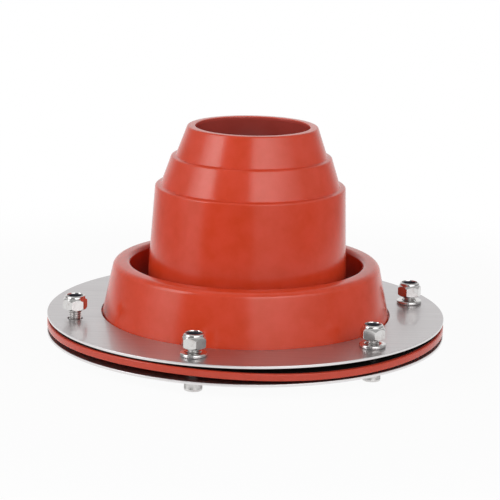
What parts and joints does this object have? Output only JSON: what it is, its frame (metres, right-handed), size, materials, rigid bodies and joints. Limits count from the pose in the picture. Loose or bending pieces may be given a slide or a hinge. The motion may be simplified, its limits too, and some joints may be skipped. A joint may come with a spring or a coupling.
{
  "type": "tent stove jack",
  "caption": "Silicone pipe boot with a folded collar and stepped tapering tube, clamped at its flange between two flat steel rings by cap screws, washers and lock nuts.",
  "frame": {"origin": "on the pipe's axis, level with the undersides of the screw heads that the jack stands on", "axes": "+Z along the pipe's axis, out of the mouth; the bolt circle's first screw is 14.2 degrees from +X towards +Y"},
  "size_m": [0.185, 0.185, 0.1029],
  "materials": {
    "red_silicone": "smooth satin red-orange moulded silicone",
    "satin_stainless": "satin rolled stainless sheet",
    "polished_stainless": "bright stainless fasteners",
    "dark_nylon": "dark nylon locking inserts"
  },
  "bodies": {
    "root": {"silicone_boot": "red_silicone", "upper_ring": "satin_stainless", "lower_ring": "satin_stainless", "cap_screws": "polished_stainless", "flat_washers": "polished_stainless", "lock_nuts": "polished_stainless", "nut_inserts": "dark_nylon"}
  },
  "joints": []
}
